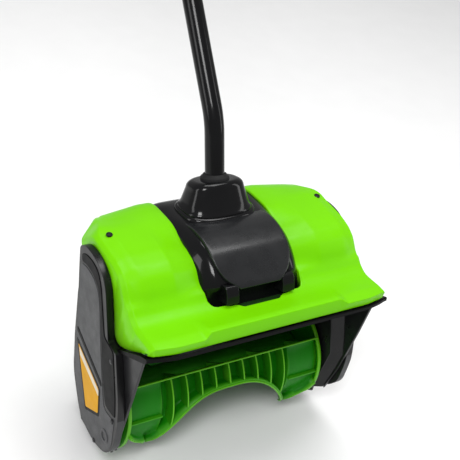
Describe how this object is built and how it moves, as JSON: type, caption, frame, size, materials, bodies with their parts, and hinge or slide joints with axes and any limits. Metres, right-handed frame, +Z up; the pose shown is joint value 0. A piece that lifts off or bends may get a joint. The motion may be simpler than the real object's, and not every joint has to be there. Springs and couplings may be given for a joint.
{
  "type": "cordless snow shovel",
  "caption": "Battery snow shovel: paddle rotor under a moulded hood, bent two-part shaft, adjustable loop handle, trigger handle and slide-in battery.",
  "frame": {"origin": "middle of the scraper sole, on the ground", "axes": "+Z up from the ground, -Y the front of the head where the snow goes, +Y towards the user, X across the head"},
  "size_m": [0.3676, 0.7008, 0.9979],
  "materials": {
    "lime_plastic": "satin gloss moulded",
    "rotor_plastic": "satin moulded",
    "black_gloss": "gloss",
    "painted_tube": "gloss powder coat",
    "black_plastic": "fine texture",
    "grey_plastic": "textured",
    "battery_plastic": "textured",
    "rubber": "matt",
    "belt_rubber": "ribbed",
    "steel": "zinc plated",
    "cast_metal": "as cast",
    "copper": "lacquered windings",
    "circuit_board": "solder mask",
    "cable_sheath": "smooth"
  },
  "bodies": {
    "head": {"hood": "lime_plastic", "front_trim": "black_plastic", "drum_shroud": "black_plastic", "left_side_plate": "black_plastic", "right_side_plate": "black_plastic", "left_belt_cover": "grey_plastic", "right_end_cover": "grey_plastic", "scraper_bar": "rubber", "motor_cover": "black_gloss", "shaft_boss": "black_gloss", "boss_collar": "black_plastic", "motor_case": "steel", "motor_bracket": "cast_metal", "drive_belt": "belt_rubber", "left_bearing": "steel", "right_bearing": "steel", "control_board": "circuit_board", "heat_sink": "cast_metal", "power_cable": "cable_sheath", "lower_shaft": "painted_tube", "upper_shaft": "painted_tube", "shaft_coupler": "black_plastic", "handle_left_shell": "lime_plastic", "handle_right_shell": "lime_plastic", "rear_grip_pad": "rubber", "switch_block": "black_plastic", "trigger_pin": "steel", "trigger_spring": "steel", "battery_terminal": "black_plastic", "hood_screws": "steel", "cover_screws": "steel", "bearing_screws": "steel", "handle_screws": "steel"},
    "rotor": {"paddle_rotor": "rotor_plastic", "rotor_axle": "steel", "driven_pulley": "cast_metal", "axle_nut": "steel"},
    "motor_shaft": {"motor_armature": "copper", "drive_pulley": "cast_metal"},
    "trigger": {"trigger": "black_plastic"},
    "lock_button": {"lock_off_button": "black_plastic"},
    "battery": {"battery_pack": "battery_plastic"},
    "battery_latch": {"battery_latch": "black_plastic"},
    "coupler_knob": {"coupler_knob": "black_plastic"},
    "clamp": {"handle_clamp": "black_plastic"},
    "front_handle": {"front_handle": "black_plastic", "front_grip": "rubber"},
    "clamp_knob": {"clamp_knob": "black_plastic"}
  },
  "joints": [
    {"name": "rotor_spin", "type": "hinge", "parent": "head", "child": "rotor", "pos_m": [0, -0.028, 0.082], "axis": [1, 0, 0], "continuous": true},
    {"name": "motor_spin", "type": "hinge", "parent": "head", "child": "motor_shaft", "pos_m": [0, -0.01565, 0.25628], "axis": [1, 0, 0], "continuous": true},
    {"name": "trigger_pull", "type": "hinge", "parent": "head", "child": "trigger", "pos_m": [0, 0.38833, 0.86514], "axis": [-1, 0, 0], "range_deg": [0, 10], "stiffness_Nm_per_rad": 1.2, "springref_deg": -8.59},
    {"name": "lock_off_press", "type": "slide", "parent": "head", "child": "lock_button", "axis": [0, 0.766, -0.6428], "range_m": [0, 0.004], "stiffness_N_per_m": 600, "springref_m": -0.002},
    {"name": "battery_slide", "type": "slide", "parent": "head", "child": "battery", "axis": [0, 0.6428, 0.766], "range_m": [0, 0.06]},
    {"name": "latch_press", "type": "slide", "parent": "battery", "child": "battery_latch", "axis": [0, 0.766, -0.6428], "range_m": [0, 0.003], "stiffness_N_per_m": 700, "springref_m": -0.002},
    {"name": "coupler_knob_turn", "type": "hinge", "parent": "head", "child": "coupler_knob", "pos_m": [0.03, 0.20846, 0.60878], "axis": [1, 0, 0], "range_deg": [0, 540]},
    {"name": "clamp_slide", "type": "slide", "parent": "head", "child": "clamp", "axis": [0, 0.6428, 0.766], "range_m": [-0.035, 0.06]},
    {"name": "front_handle_tilt", "type": "hinge", "parent": "clamp", "child": "front_handle", "pos_m": [0, 0.24413, 0.70418], "axis": [1, 0, 0], "range_deg": [-45, 45]},
    {"name": "clamp_knob_turn", "type": "hinge", "parent": "front_handle", "child": "clamp_knob", "pos_m": [0.034, 0.24413, 0.70418], "axis": [1, 0, 0], "range_deg": [0, 540]}
  ],
  "couplings": [
    {"joint": "motor_spin", "follows": "rotor_spin", "ratio": 2.8333}
  ]
}
